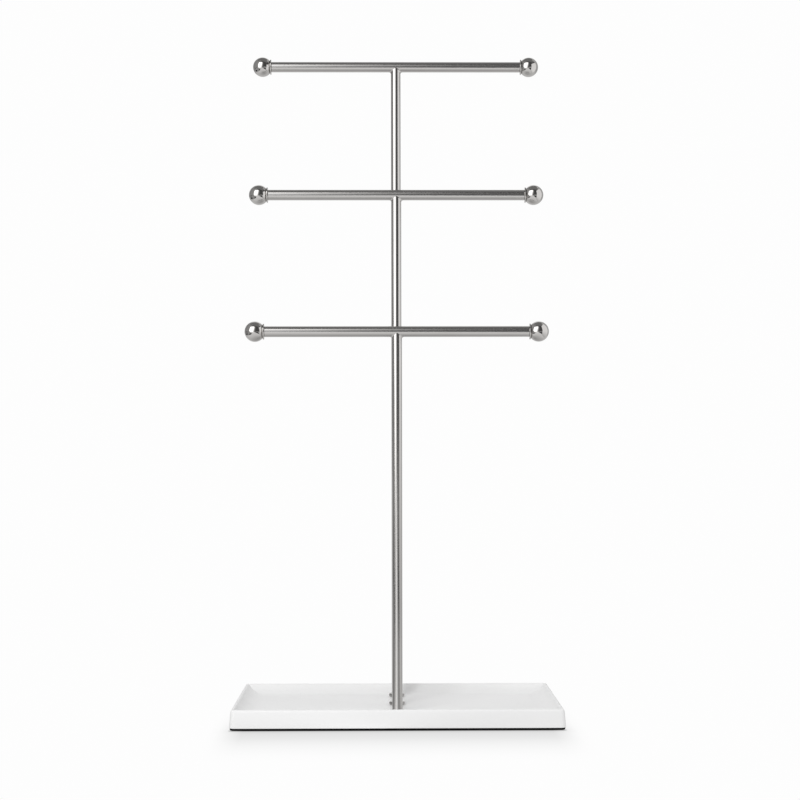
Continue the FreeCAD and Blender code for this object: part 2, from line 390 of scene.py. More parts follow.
# %% Pad finish
PAD_TONES = {"Main": grey(0.001), "Other": grey(0.010), "Scale": 220.0}
PAD_PITS = {"Scale": 2400.0, "Low": 0.82, "High": 0.95}
PIT_DEPTH = 0.08 * MM
PAD_MIRROR = 0.03           # how much the foam mirrors; plain plastic has 0.5
pad_black = make_finish("foam_black", NOT_METAL, PAD_TONES, PAD_PITS, PIT_DEPTH)
pad_shader = pad_black.node_tree.nodes["Principled BSDF"]
pad_shader.inputs["Specular IOR Level"].default_value = PAD_MIRROR

# %% [markdown]
# ## Zinc-plated steel
# The ballast plate, the plugs and the screws are hidden inside the base. They are
# zinc-plated, which looks pale and slightly blue, with a soft brushed grain. It runs
# along the plate, and along each plug and screw.

# %% Zinc finishes
ZINC_TONES = {"Main": grey(0.55, -0.012), "Other": grey(0.66, -0.02), "Scale": 90.0}
ZINC_WEAR = {"Worn": grey(0.74), "Start": 0.54, "Full": 0.66}
ZINC_GRAIN = {"Scale": 700.0, "Low": 0.3, "High": 0.42}
BRUSH_DEPTH = 0.004 * MM


def zinc_finish(name, stretch):
    brushed = {**ZINC_GRAIN, "Stretch": stretch}
    return make_finish(name, METAL, ZINC_TONES, brushed, BRUSH_DEPTH, ZINC_WEAR)


plate_zinc = zinc_finish("zinc_plate", (0.05, 1.0, 1.0))
fastener_zinc = zinc_finish("zinc_fastener", (0.1, 0.1, 1.0))

# %% [markdown]
# ## Turned pieces
# Tubes, balls, collars and rings are all round about an axis. In the workshop they come
# off a lathe, so they are made the same way here: half of the section is drawn as a
# short outline, and every point of it is carried once round the axis. The outline keeps
# exact edges where a plain cylinder or sphere would have none.

# %% Closing a mesh
CREASE_ANGLE = 32.0         # degrees; edges that turn more than this stay crisp
JOIN_DISTANCE = 0.0005 * MM


def finish_mesh(name, shape):
    """Join doubled points, turn the faces outwards, and keep real edges crisp."""
    bmesh.ops.remove_doubles(shape, verts=shape.verts[:], dist=JOIN_DISTANCE)
    bmesh.ops.recalc_face_normals(shape, faces=shape.faces[:])
    mesh = bpy.data.meshes.new(name)
    shape.to_mesh(mesh)
    shape.free()
    mesh.polygons.foreach_set("use_smooth", [True] * len(mesh.polygons))
    mesh.set_sharp_from_angle(angle=math.radians(CREASE_ANGLE))
    return mesh


def join_loops(shape, loops, closed):
    """Quads between each loop of points and the next; closed joins the last to the first."""
    spans = len(loops) if closed else len(loops) - 1
    for number in range(spans):
        here = loops[number]
        beyond = loops[(number + 1) % len(loops)]
        for spot in range(len(here)):
            after = (spot + 1) % len(here)
            shape.faces.new((here[spot], here[after], beyond[after], beyond[spot]))


print("edges over", CREASE_ANGLE, "degrees stay crisp")

# %% The lathe
TURN_STEPS = 96             # faces once round a piece


def turned_mesh(name, outline, axis, centre, closed):
    """Carry an outline of (along, out) points once round the axis through centre."""
    side = axis.orthogonal().normalized()
    other = axis.cross(side)
    shape = bmesh.new()
    loops = []
    for along, out in outline:
        loop = []
        for step in range(TURN_STEPS):
            angle = math.tau * step / TURN_STEPS
            spoke = side * math.cos(angle) + other * math.sin(angle)
            loop.append(shape.verts.new(centre + axis * along + spoke * out))
        loops.append(loop)
    join_loops(shape, loops, closed)
    return finish_mesh(name, shape)


def arc(along, out, radius, start, end, steps):
    """A round stretch of an outline; its angles count from the axis, in degrees."""
    points = []
    for step in range(steps + 1):
        angle = math.radians(start + (end - start) * step / steps)
        points.append((along + radius * math.cos(angle), out + radius * math.sin(angle)))
    return points


print("the lathe makes", TURN_STEPS, "faces once round a piece")

# %% [markdown]
# ## Putting a piece in place
# Each new piece takes over from one piece of the engineering model. It rides on the
# stand's only body and gets its finish in a material slot.


# %% Placing a piece
def place_piece(node, mesh, material):
    piece = bpy.data.objects.new(node + "_finish", mesh)
    bpy.context.scene.collection.objects.link(piece)
    mesh.materials.append(material)
    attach(piece, BODY)
    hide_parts(node)
    return piece


# %% [markdown]
# ## Crossbars
# A crossbar is a straight tube, cut to length and eased at both ends. The outline runs
# back along the bore and out along the skin, so the tube is hollow, as the real one is.

# %% Crossbars
BAR_WALL = 0.8 * MM
EASED_EDGE = 0.12 * MM      # cut ends of tubes lose their burr on a belt
bar_bore = bar_radius - BAR_WALL
bar_outline = [
    (-bar_half, bar_bore),
    (bar_half, bar_bore),
    (bar_half, bar_radius - EASED_EDGE),
    (bar_half - EASED_EDGE, bar_radius),
    (-bar_half + EASED_EDGE, bar_radius),
    (-bar_half, bar_radius - EASED_EDGE),
]
for tier in TIERS:
    node = tier + "_crossbar"
    mesh = turned_mesh(node + "_finish", bar_outline, X_AXIS, middle(node), True)
    place_piece(node, mesh, nickel["bar"])
print("crossbars:", len(TIERS), "tubes", round(2.0 * bar_half / MM, 1), "mm long")

# %% [markdown]
# ## Balls
# A ball and the pin that holds it in the bar are one turned piece. The outline starts
# at the pin's tip, eases its edge, and follows a half circle over the ball. The left
# and right balls are the same piece turned round, so the outline is only mirrored.

# %% Ball finials
PIN_TIP_EASE = 0.5 * MM
BALL_STEPS = 40
pin_radius = bar_bore - PRESS_GAP


def mirrored(outline, direction):
    """An outline for the right side as it is, or for the left side turned round."""
    return [(direction * along, out) for along, out in outline]


def ball_outline(pin_length):
    """Outline of a ball centred on 0, with its pin to the left."""
    join_angle = 180.0 - math.degrees(math.asin(pin_radius / ball_radius))
    tip = -pin_length
    outline = [(tip, 0.0), (tip, pin_radius - PIN_TIP_EASE), (tip + PIN_TIP_EASE, pin_radius)]
    return outline + arc(0.0, 0.0, ball_radius, join_angle, 0.0, BALL_STEPS)


for tier in TIERS:
    for side, direction in SIDES.items():
        node = tier + "_" + side + "_ball_finial"
        low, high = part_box(node)
        centre = middle(node)
        centre.x = (high.x if direction > 0.0 else low.x) - direction * ball_radius
        outline = mirrored(ball_outline((high.x - low.x) - ball_radius), direction)
        mesh = turned_mesh(node + "_finish", outline, X_AXIS, centre, False)
        place_piece(node, mesh, nickel["ball"])
print("balls:", 2 * len(TIERS), "of", round(2.0 * ball_radius / MM, 1), "mm")

# %% [markdown]
# ## End collars
# The collar hides the joint between ball and bar. It stands a little proud of the bar,
# rises to a flange with rounded edges, and ends in a narrower neck against the ball.
# The neck lies in shade, so it reads as a fine dark groove that sets the ball apart.

# %% Collars
COLLAR_STEP = 0.35 * MM     # back of the collar out past the bar
COLLAR_BACK = 0.22 * MM     # from the bar's end to the flange
FLANGE_WIDTH = 0.82 * MM
FLANGE_ROUND = 0.12 * MM    # the flange's edge is rounded over
FLANGE_STEPS = 5
GROOVE_FLOOR = 1.15 * MM    # bottom of the groove in from the flange's edge
collar_bore = pin_radius + PRESS_GAP


def collar_outline(length, flange_radius):
    """Outline of a right collar from the bar's end, at 0, to the ball, at length."""
    groove = flange_radius - GROOVE_FLOOR
    front = COLLAR_BACK + FLANGE_WIDTH
    crest = flange_radius - FLANGE_ROUND
    outline = [(0.0, collar_bore), (0.0, bar_radius + COLLAR_STEP)]
    for along, start, end in ((COLLAR_BACK + FLANGE_ROUND, 180.0, 90.0),
                              (front - FLANGE_ROUND, 90.0, 0.0)):
        outline += arc(along, crest, FLANGE_ROUND, start, end, FLANGE_STEPS)
    return outline + [(front, groove), (length, groove), (length, collar_bore)]


for tier in TIERS:
    for side, direction in SIDES.items():
        node = tier + "_" + side + "_end_collar"
        half = half_size(node)
        start = middle(node)
        start.x = direction * bar_half
        outline = mirrored(collar_outline(2.0 * half.x, half.z), direction)
        mesh = turned_mesh(node + "_finish", outline, X_AXIS, start, True)
        place_piece(node, mesh, nickel["collar"])
print("collars:", 2 * len(TIERS), "with a groove", round(GROOVE_FLOOR / MM, 2), "mm deep")

# %% [markdown]
# ## Base rings
# A ring with a half-round edge hides the gap where each pole stands on the tray.

# %% Rings
RING_GAP = 0.05 * MM        # between the ring and its pole
RING_STEPS = 16
ring_bore = pole_radius + RING_GAP

for tier in TIERS:
    node = tier + "_base_ring"
    half = half_size(node)
    outline = [(-half.z, ring_bore)]
    outline += arc(0.0, half.x - half.z, half.z, 180.0, 0.0, RING_STEPS)
    outline.append((half.z, ring_bore))
    mesh = turned_mesh(node + "_finish", outline, Z_AXIS, middle(node), True)
    place_piece(node, mesh, nickel["ring"])
    print(tier, "ring:", round(2.0 * half.z / MM, 1), "mm high")

# %% [markdown]
# ## Poles and their welds
# A pole can't be turned in one outline, because its top is cut to saddle the crossbar
# and a weld runs round the joint. It is built from loops of points instead. Every spoke
# round the pole finds where it meets the bar. There the weld starts on the pole's wall,
# curves out like a quarter circle, and ends on the bar's skin. The sharper the corner
# between the two surfaces, the wider the weld reaches, so it is broad along the bar and
# fades away at the sides, where pole and bar run almost together.

# %% Weld shape
WELD_RADIUS = 1.5 * MM      # hollow of the weld where a pole meets its crossbar
WELD_STEPS = 8
SADDLE_STEPS = 3


def on_bar(along, turn, height):
    """A point of the bar's skin; turn counts round the bar from straight below."""
    return Vector((along, bar_radius * math.sin(turn), height - bar_radius * math.cos(turn)))


def weld_points(spoke, height):
    """One spoke's points from the pole's wall, over the weld, and back under the bar."""
    turn = math.asin(pole_radius * spoke.y / bar_radius)
    corner = on_bar(pole_radius * spoke.x, turn, height)
    bar_normal = Vector((0.0, math.sin(turn), -math.cos(turn)))
    opening = spoke.angle(bar_normal)
    reach = WELD_RADIUS * math.tan(opening / 2.0)
    away = (spoke - bar_normal * spoke.dot(bar_normal)).normalized()
    round_bar = away.dot(Vector((0.0, math.cos(turn), math.sin(turn))))
    foot = corner - Z_AXIS * reach
    toe_turn = turn + reach * round_bar / bar_radius
    toe = on_bar(corner.x + reach * away.x, toe_turn, height)
    pull = math.cos(opening / 2.0)
    points = []
    for step in range(WELD_STEPS + 1):
        share = step / WELD_STEPS
        ends = (1.0 - share) ** 2, 2.0 * pull * share * (1.0 - share), share ** 2
        points.append((foot * ends[0] + corner * ends[1] + toe * ends[2]) / sum(ends))
    bore_turn = math.asin(bore_radius * spoke.y / bar_radius)
    for step in range(1, SADDLE_STEPS + 1):
        share = step / SADDLE_STEPS
        along = toe.x + (bore_radius * spoke.x - toe.x) * share
        points.append(on_bar(along, toe_turn + (bore_turn - toe_turn) * share, height))
    return points


print("weld:", round(WELD_RADIUS / MM, 1), "mm hollow in", WELD_STEPS, "steps")


# %% Poles
def pole_mesh(name, y, height):
    """Loops from the bore's foot out to the wall, up to the weld, and into the saddle."""
    shape = bmesh.new()
    base = Vector((0.0, 0.0, floor_z))
    columns = []
    for step in range(TURN_STEPS):
        angle = math.tau * step / TURN_STEPS
        spoke = Vector((math.cos(angle), math.sin(angle), 0.0))
        points = [base + spoke * bore_radius, base + spoke * (pole_radius - EASED_EDGE)]
        points.append(base + spoke * pole_radius + Z_AXIS * EASED_EDGE)
        points += weld_points(spoke, height)
        columns.append([shape.verts.new(point + Vector((0.0, y, 0.0))) for point in points])
    join_loops(shape, list(zip(*columns)), True)
    return finish_mesh(name, shape)


for tier in TIERS:
    bar_centre = middle(tier + "_crossbar")
    mesh = pole_mesh(tier + "_pole_finish", bar_centre.y, bar_centre.z)
    place_piece(tier + "_pole", mesh, nickel["pole"])
    print(tier, "pole:", round((bar_centre.z - floor_z) / MM, 1), "mm to the bar's axis")

# %% [markdown]
# ## Tray
# The tray is moulded in one piece, and a moulding is best thought of as a stack of
# outlines: rounded rectangles that move in, out, up or down. The loops run from the
# cavity under the tray, over the foot, up the leaning wall, round the soft rim and down
# the dished side to the flat floor. An extra loop beside each curve keeps the flat
# faces truly flat in the light.

# %% Tray measures
tray_low, tray_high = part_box("tray_shell")
tray_half = (tray_high - tray_low) / 2.0
foot_z = tray_low.z
rim_z = tray_high.z
CORNER_RADIUS = 4.0 * MM    # in plan, at the foot; it shrinks as the outline moves in
FLOOR_CORNER = 0.5 * MM     # down to this
SIDE_LEAN = 4.8             # degrees
WALL = 2.5 * MM
FLOOR_THICKNESS = 3.0 * MM
COVE_RADIUS = 16.0 * MM     # sweep of the dished sides
RIM_ROUND = 1.6 * MM
RIM_FLAT = 0.2 * MM
RIM_INNER_ROUND = 0.4 * MM
FOOT_ROUND = 0.4 * MM
HOLD = 0.6 * MM             # extra loops lie this far from a curve
FOOT_STEPS = 4
RIM_STEPS = 8
INNER_STEPS = 3
COVE_STEPS = 14
COVE_BREAK = 2.0            # degrees between the rim's round and the sweep
tray_lean = math.tan(math.radians(SIDE_LEAN))
print("tray", round(2.0 * tray_half.x / MM, 1), "by", round(2.0 * tray_half.y / MM, 1),
      "mm at its foot")


# %% The tray's section, from the cavity out and over to the floor
def tray_section():
    """Points of (inset from the foot's outline, height); 0 degrees points inwards, 90 up."""
    lean_inset = (rim_z - foot_z) * tray_lean
    inner_inset = lean_inset + RIM_ROUND + RIM_FLAT
    cove_angle = math.degrees(math.acos(1.0 - (rim_z - floor_z) / COVE_RADIUS))
    cove_run = COVE_RADIUS * math.sin(math.radians(cove_angle))
    floor_inset = inner_inset + RIM_INNER_ROUND + cove_run
    section = [(WALL, floor_z - FLOOR_THICKNESS), (WALL, foot_z)]
    section += arc(FOOT_ROUND, foot_z + FOOT_ROUND, FOOT_ROUND, 270.0, 180.0, FOOT_STEPS)
    for z in (foot_z + FOOT_ROUND + HOLD, rim_z - RIM_ROUND - HOLD):
        section.append(((z - foot_z) * tray_lean, z))
    section += arc(lean_inset + RIM_ROUND, rim_z - RIM_ROUND, RIM_ROUND,
                   180.0 - SIDE_LEAN, 90.0, RIM_STEPS)
    section += arc(inner_inset, rim_z - RIM_INNER_ROUND, RIM_INNER_ROUND,
                   90.0, 90.0 - cove_angle, INNER_STEPS)
    section += arc(floor_inset, floor_z + COVE_RADIUS, COVE_RADIUS,
                   270.0 - (cove_angle - COVE_BREAK), 270.0, COVE_STEPS)
    return section + [(floor_inset + HOLD, floor_z)]


section = tray_section()
print("tray section:", len(section), "outlines, flat floor", round(section[-2][0] / MM, 1), "mm in")

# %% Rounded rectangles and holes
CORNER_STEPS = 10
SCREW_HOLE = 2.25 * MM
HOLE_STEPS = 32


def rounded_loop(shape, half_x, half_y, corner, z):
    """A level loop of points with four round corners."""
    loop = []
    for quarter, (sign_x, sign_y) in enumerate(((1, 1), (-1, 1), (-1, -1), (1, -1))):
        for step in range(CORNER_STEPS + 1):
            angle = math.radians(90.0 * (quarter + step / CORNER_STEPS))
            x = sign_x * (half_x - corner) + corner * math.cos(angle)
            y = sign_y * (half_y - corner) + corner * math.sin(angle)
            loop.append(shape.verts.new((x, y, z)))
    return loop


def hole_loop(shape, y, z):
    loop = []
    for step in range(HOLE_STEPS):
        angle = math.tau * step / HOLE_STEPS
        across, deep = SCREW_HOLE * math.cos(angle), SCREW_HOLE * math.sin(angle)
        loop.append(shape.verts.new((across, y + deep, z)))
    return loop


def fill_between(shape, loops):
    """Fill the flat face inside the first loop and round the others."""
    edges = []
    for loop in loops:
        for spot, vertex in enumerate(loop):
            after = loop[(spot + 1) % len(loop)]
            found = shape.edges.get((vertex, after))
            edges.append(found or shape.edges.new((vertex, after)))
    bmesh.ops.triangle_fill(shape, edges=edges, use_beauty=True)


print("screw holes:", round(2.0 * SCREW_HOLE / MM, 1), "mm wide")


# %% Tray
def tray_mesh(name):
    shape = bmesh.new()
    loops = []
    for inset, z in section:
        corner = max(CORNER_RADIUS - inset, FLOOR_CORNER)
        loops.append(rounded_loop(shape, tray_half.x - inset, tray_half.y - inset, corner, z))
    join_loops(shape, loops, False)
    upper = [loops[-1]]
    lower = [loops[0]]
    for tier in TIERS:
        y = middle(tier + "_crossbar").y
        top = hole_loop(shape, y, floor_z)
        bottom = hole_loop(shape, y, floor_z - FLOOR_THICKNESS)
        join_loops(shape, [bottom, top], False)
        upper.append(top)
        lower.append(bottom)
    fill_between(shape, upper)
    fill_between(shape, lower)
    return finish_mesh(name, shape)


tray = place_piece("tray_shell", tray_mesh("tray_finish"), tray_white)
print("tray mesh:", len(tray.data.polygons), "faces")

# %% [markdown]
# ## Non-slip sheet
# The sheet is stamped from foam, so its edge bulges a little where the stand's weight
# presses it. It is the same stack of outlines with only a few levels.

# %% Pad
PAD_BULGE = 0.15 * MM
PAD_STEPS = 6
pad_half = half_size("base_pad")


def pad_mesh(name):
    shape = bmesh.new()
    corner = CORNER_RADIUS - (tray_half.x - pad_half.x)
    loops = []
    for step in range(PAD_STEPS + 1):
        share = step / PAD_STEPS
        inset = PAD_BULGE * (1.0 - math.sin(math.pi * share))
        z = 2.0 * pad_half.z * share
        loops.append(rounded_loop(shape, pad_half.x - inset, pad_half.y - inset, corner - inset, z))
    join_loops(shape, loops, False)
    shape.faces.new(loops[0])
    shape.faces.new(loops[-1])
    return finish_mesh(name, shape)


pad = place_piece("base_pad", pad_mesh("pad_finish"), pad_black)
print("pad:", round(2.0 * pad_half.z / MM, 2), "mm thick")

# %% [markdown]
# ## Hidden steel
# The ballast plate, plugs and screws have their right shape in the engineering model
# already. They keep it and only get their zinc finish.


# %% Dressing the carried-over pieces
def dress(node, material):
    nodes[node].data.materials.clear()
    nodes[node].data.materials.append(material)


dress("ballast_plate", plate_zinc)
for tier in TIERS:
    dress(tier + "_threaded_plug", fastener_zinc)
    dress(tier + "_foot_screw", fastener_zinc)
print("dressed with zinc:", 1 + 2 * len(TIERS), "pieces")

# %% [markdown]
# ## Keeping the base out of the mirror
# The white tray lies right under the polished poles and would wash out their feet. A
# studio would lay a grey card over it for the shot of the metal. Here the base simply
# isn't seen in reflections, so the metal mirrors the floor.

# %% Base pieces that the metal doesn't mirror
base_pieces = [tray, pad, nodes["ballast_plate"]]
base_pieces += [nodes[tier + "_foot_screw"] for tier in TIERS]
for piece in base_pieces:
    piece.visible_glossy = False
print("kept out of reflections:", len(base_pieces), "pieces")

# %% [markdown]
# ## Two studios in one
# Metal and moulding ask for different light. A polished tube shows the room like a
# stretched mirror, so the room's window, walls and floor matter. The tray and the sheet
# show next to nothing of the room, only how much light reaches them. So there is a room
# that only reflections see, and a soft white tent with three lamps for the tray and the
# sheet. Blender lets both stand in one place, because a face or a lamp can be hidden
# from one kind of ray and not from another.


# %% Helpers for the studio's faces
def stage_face(name, corners, material):
    """A single flat face that belongs to the studio, not to the stand."""
    mesh = bpy.data.meshes.new(name)
    mesh.from_pydata(corners, [], [tuple(range(len(corners)))])
    mesh.materials.append(material)
    face = bpy.data.objects.new(name, mesh)
    bpy.context.scene.collection.objects.link(face)
    return face


def only_reflected(face):
    face.visible_camera = False
    face.visible_diffuse = False
    face.visible_shadow = False


def level_corners(x_span, y_span, z):
    (left, right), (front, back) = x_span, y_span
    return [(left, front, z), (right, front, z), (right, back, z), (left, back, z)]


def upright(name, start, end, bottom, top, material):
    """A standing face between two places of the floor plan, seen by reflections only."""
    corners = [(*start, bottom), (*end, bottom), (*end, top), (*start, top)]
    only_reflected(stage_face(name, corners, material))


# %% Helpers for glowing materials
def glow_material(name, strength=1.0):
    """A material that only glows; its strength may be linked afterwards."""
    material, tree, shader = start_material(name)
    tree.nodes.remove(shader)
    glow = add_node(tree, "ShaderNodeEmission", values={"Strength": strength})
    tree.links.new(glow.outputs["Emission"], tree.nodes["Material Output"].inputs["Surface"])
    material.cycles.emission_sampling = "NONE"
    return material, tree, glow.inputs["Strength"]


def split_place(tree):
    """Where a point lies on a face, whole and as its X, Y and Z."""
    place = own_place(tree)
    return place, add_node(tree, "ShaderNodeSeparateXYZ", Vector=place).outputs


def scaled(tree, value, span, result):
    """Map a value from one span to another, held at both ends."""
    return add_node(tree, "ShaderNodeMapRange",
                    values={"From Min": span[0], "From Max": span[1],
                            "To Min": result[0], "To Max": result[1]},
                    Value=value).outputs["Result"]


def tone_ramp(tree, value, stops):
    """A smooth tone along a value; stops are (value, brightness)."""
    start, end = stops[0][0], stops[-1][0]
    ramp = add_node(tree, "ShaderNodeValToRGB", Fac=scaled(tree, value, (start, end), (0.0, 1.0)))
    elements = ramp.color_ramp.elements
    while len(elements) < len(stops):
        elements.new(0.5)
    peak = max(level for place, level in stops)
    for element, (place, level) in zip(elements, stops):
        element.position = (place - start) / (end - start)
        element.color = grey(level / peak)
    return combined(tree, "MULTIPLY", ramp.outputs["Color"], peak)


# %% [markdown]
# ## Studio floor
# The camera sees a floor that glows evenly white, with a painted shade only just in front of
# the stand, where its shadow falls. Metal sees a floor that glows with painted studio tones.
# Seen steeply it is white paper with painted shade, dimmer beside and behind the stand.
# Seen along the ground it carries a painted sheen of whatever stands behind it, bright
# towards the window and dark beside it.
# From below the floor is clear, so the sheet under the tray can be looked at.

# %% Floor measures
WHITE = 0.985
NEARLY_BLACK = 0.01
FLOOR_HALF = 6.0
# Painted soft shade: (metres in front of the sheet's front edge, how much light is missing)
SHADE_AHEAD = (
    (-0.110, 0.0), (-0.083, 0.07), (-0.057, 0.11), (-0.031, 0.18), (-0.006, 0.25), (0.0, 0.30),
    (0.008, 0.27), (0.0116, 0.225), (0.024, 0.185), (0.031, 0.165),
    (0.042, 0.115), (0.056, 0.07), (0.073, 0.034), (0.090, 0.01), (0.110, 0.0))
# (metres past the sheet's end, how much of that is left)
SHADE_ASIDE = ((-0.0095, 1.0), (-0.001, 0.5), (0.0035, 0.25), (0.0075, 0.08), (0.0135, 0.0))
# Painted contact shadow: the dark line right under the edge, in the same two directions
CONTACT_SHADOW_AHEAD = ((-0.002, 0.0), (-0.0005, 0.67), (0.0013, 0.67), (0.0028, 0.15), (0.006, 0.0))
CONTACT_SHADOW_ASIDE = ((-0.002, 1.0), (0.0, 0.5), (0.001, 0.0))
# (distance from the stand's middle in metres, brightness of the paper with painted shade)
PAPER_AND_SHADE_TONES = ((0.0, 0.56), (0.12, 0.64), (0.30, 0.88), (0.60, 1.0), (1.40, 0.85))
# Painted shade behind the stand: the paper keeps less of its glow further back
PAPER_SHADE_BEHIND = ((-0.1, 0.15), (1.0, 0.8))     # places along Y, and the share left there
# (azimuth in degrees from straight ahead, painted sheen along the ground); negative is left
PAINTED_SHEEN_TONES = (
    (-180.0, 0.78), (-144.0, 0.70), (-117.0, 0.46), (-89.0, 0.26), (-67.0, 0.34), (-47.0, 0.58),
    (-29.0, 1.02), (-12.0, 1.40), (5.0, 0.52), (22.0, 0.38), (40.0, 0.44), (59.0, 0.70),
    (80.0, 0.86), (106.0, 0.52), (130.0, 0.62), (180.0, 0.78))
GLANCE = (0.60, 0.86)       # from steep to along the ground, as 1 - cos of the angle
print("floor shade reaches", round(SHADE_AHEAD[-1][0] / MM), "mm in front of the tray")


# %% What the camera and the metal see of the floor
def floor_shade(tree):
    """What the camera sees: white, with a painted shade just in front of the tray."""
    x, y = split_place(tree)[1][:2]
    aside = combined(tree, "SUBTRACT", combined(tree, "ABSOLUTE", x, 0.0), pad_half.x)
    ahead = combined(tree, "SUBTRACT", combined(tree, "MULTIPLY", y, -1.0), pad_half.y)
    # painted soft shade in front of the tray, fading past its ends
    soft = combined(tree, "MULTIPLY", tone_ramp(tree, ahead, SHADE_AHEAD),
                    tone_ramp(tree, aside, SHADE_ASIDE))
    # painted contact shadow right under the sheet's edge
    contact_shadow = combined(tree, "MULTIPLY", tone_ramp(tree, ahead, CONTACT_SHADOW_AHEAD),
                       tone_ramp(tree, aside, CONTACT_SHADOW_ASIDE))
    left = combined(tree, "SUBTRACT", WHITE, combined(tree, "ADD", soft, contact_shadow))
    return combined(tree, "MAXIMUM", left, NEARLY_BLACK)


def floor_shine(tree):
    """What the metal sees: paper with painted shade from above, a painted sheen along the ground.
    """
    place, (x, y, z) = split_place(tree)
    length = add_node(tree, "ShaderNodeVectorMath", {"operation": "LENGTH"})
    tree.links.new(place, length.inputs[0])
    # paper glow with painted shade near the stand and behind it
    paper = tone_ramp(tree, length.outputs["Value"], PAPER_AND_SHADE_TONES)
    paper = combined(tree, "MULTIPLY", paper, scaled(tree, y, *PAPER_SHADE_BEHIND))
    angle = combined(tree, "ARCTAN2", x, combined(tree, "MULTIPLY", y, -1.0))
    # painted sheen along the ground, by azimuth
    shine = tone_ramp(tree, combined(tree, "DEGREES", angle, 0.0), PAINTED_SHEEN_TONES)
    glance = add_node(tree, "ShaderNodeLayerWeight", values={"Blend": 0.5}).outputs["Facing"]
    along = scaled(tree, glance, GLANCE, (0.0, 1.0))
    difference = combined(tree, "SUBTRACT", shine, paper)
    return combined(tree, "ADD", paper, combined(tree, "MULTIPLY", difference, along))


# %% Floor material
floor_white, tree, strength = glow_material("floor_white")
seen = floor_shade(tree)
mirrored_tone = floor_shine(tree)
camera_ray = add_node(tree, "ShaderNodeLightPath").outputs["Is Camera Ray"]
difference = combined(tree, "SUBTRACT", seen, mirrored_tone)
choice = combined(tree, "MULTIPLY", difference, camera_ray)
tree.links.new(combined(tree, "ADD", mirrored_tone, choice), strength)
print("floor tones take", len(tree.nodes), "nodes")

# %% The floor is clear from below
from_below = add_node(tree, "ShaderNodeNewGeometry").outputs["Backfacing"]
clear = add_node(tree, "ShaderNodeBsdfTransparent")
side_seen = add_node(tree, "ShaderNodeMixShader", Fac=from_below)
tree.links.new(tree.nodes["Emission"].outputs["Emission"], side_seen.inputs[1])
tree.links.new(clear.outputs["BSDF"], side_seen.inputs[2])
tree.links.new(side_seen.outputs["Shader"], tree.nodes["Material Output"].inputs["Surface"])

floor_span = (-FLOOR_HALF, FLOOR_HALF)
floor = stage_face("floor", level_corners(floor_span, floor_span, 0.0), floor_white)
print("floor:", round(floor.dimensions.x, 1), "m wide")

# %% [markdown]
# ## Walls of the room
# A white card near on the right and a pale backdrop make the bright stripes on the
# metal. A grey flag near on the left and the dim walls beyond it make the dark ones.
# Each is an upright glowing face. It is seen by reflections only, so it neither lights
# the tray nor stands in the camera's way.

# %% Walls
# (name, start, end, bottom, top, brightness) in the floor plan, metres
WALLS = (
    ("left_flag", (-0.395, -0.205), (-0.46, -0.08), 0.12, 1.6, 0.42),
    ("left_skirting", (-1.60, -0.55), (-1.45, 0.55), 0.12, 0.36, 0.24),
    ("left_wall", (-1.60, -0.55), (-1.45, 0.55), 0.36, 2.4, 0.40),
    ("back_left", (-1.42, 0.6), (-0.75, 1.6), 0.12, 2.4, 0.38),
    ("backdrop", (-0.7, 1.6), (0.75, 1.6), 0.12, 2.4, 0.95),
    ("back_right", (0.8, 1.5), (1.1, 0.1), 0.12, 2.4, 0.56),
)
for name, start, end, bottom, top, brightness in WALLS:
    upright(name, start, end, bottom, top, glow_material(name, brightness)[0])
print("walls:", len(WALLS))

# %% [markdown]
# ### White card and ceiling
# The card stands on the floor beside the stand and gets less light towards its foot,
# so its glow rises with the height. The ceiling closes the room with a plain dim face.

# %% White card and ceiling
CARD_START = (0.30, -0.29)
CARD_END = (0.35, 0.08)
CARD_BOTTOM = 0.02
CARD_TOP = 0.65
CARD_TONES = ((0.02, 0.28), (0.62, 1.16))     # heights, and the brightness there
CEILING_ACROSS = (-2.0, 2.0)
CEILING_DEEP = (-1.2, 2.2)
CEILING_HEIGHT = 2.5
CEILING_GLOW = 0.24

card_white, tree, strength = glow_material("card_white")
tree.links.new(scaled(tree, split_place(tree)[1]["Z"], *CARD_TONES), strength)
upright("right_card", CARD_START, CARD_END, CARD_BOTTOM, CARD_TOP, card_white)
ceiling = stage_face("ceiling", level_corners(CEILING_ACROSS, CEILING_DEEP, CEILING_HEIGHT),
                     glow_material("ceiling", CEILING_GLOW)[0])
only_reflected(ceiling)
print("card", CARD_TOP, "m and ceiling", CEILING_HEIGHT, "m high")

# %% [markdown]
# ### Dark things on the floor
# A real room is never empty. The edge of a table, a painted patch of shade and two darker
# cards in and beside it give the small dark marks in the lower half of each ball. Flat cards
# do for them, because a ball shows them no larger than a pinhead.

# %% Cards on the floor
# (name, brightness, height, outline on the floor)
CARDS = (
    ("table_edge", 0.03, 0.001, ((0.02, -1.30), (0.40, -0.34), (0.64, -0.60), (0.9, -1.4))),
    # painted shade: a grey card where the floor lies in shade
    ("left_shade", 0.42, 0.0005, ((-0.50, -0.62), (-0.46, -0.24), (-0.60, 0.02), (-0.82, 0.32),
                                  (-1.30, 0.30), (-1.30, -0.50), (-0.80, -0.72))),
    # two darker cards in and beside that painted shade
    ("near_dark_mark", 0.11, 0.001, ((-0.40, -0.50), (-0.44, -0.27), (-0.60, -0.15), (-0.80, -0.25),
                                (-0.80, -0.62), (-0.60, -0.75))),
    ("far_dark_mark", 0.03, 0.001, ((-0.80, 0.30), (-0.84, -0.02), (-1.25, -0.04), (-1.50, 0.25),
                                 (-1.45, 0.70), (-1.00, 0.50))),
)
for name, brightness, height, outline in CARDS:
    corners = [(x, y, height) for x, y in outline]
    only_reflected(stage_face(name, corners, glow_material(name, brightness)[0]))
print("cards on the floor:", len(CARDS))

# %% [markdown]
# ## Window
# A wide window in front and to the left is the brightest thing the metal sees. It
# isn't even: a curtain softens its right edge, it is dimmer towards the sill, and its
# left end is narrower below.

